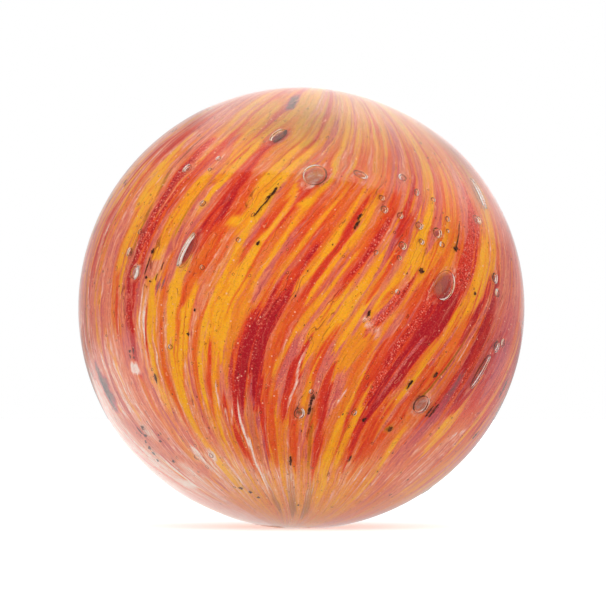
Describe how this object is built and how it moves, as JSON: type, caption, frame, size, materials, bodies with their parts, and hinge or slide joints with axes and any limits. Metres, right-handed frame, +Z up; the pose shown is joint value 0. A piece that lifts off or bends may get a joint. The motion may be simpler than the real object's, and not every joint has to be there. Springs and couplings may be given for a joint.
{
  "type": "glass marble",
  "caption": "Large handmade glass marble, slightly flattened between its poles, with a ground pontil foot that it stands on.",
  "frame": {"origin": "under the centre of the ball, on the ground pontil foot", "axes": "+Z up, square to the foot; the pole axis leans 4.5 degrees off it, its top towards +X; the smaller ground facet faces down towards -X"},
  "size_m": [0.0446, 0.0446, 0.044],
  "materials": {
    "marble": "clear glossy glass cased over stretched flecks of yellow, orange and red, with air bells"
  },
  "bodies": {
    "root": {"marble": "marble"}
  },
  "joints": []
}
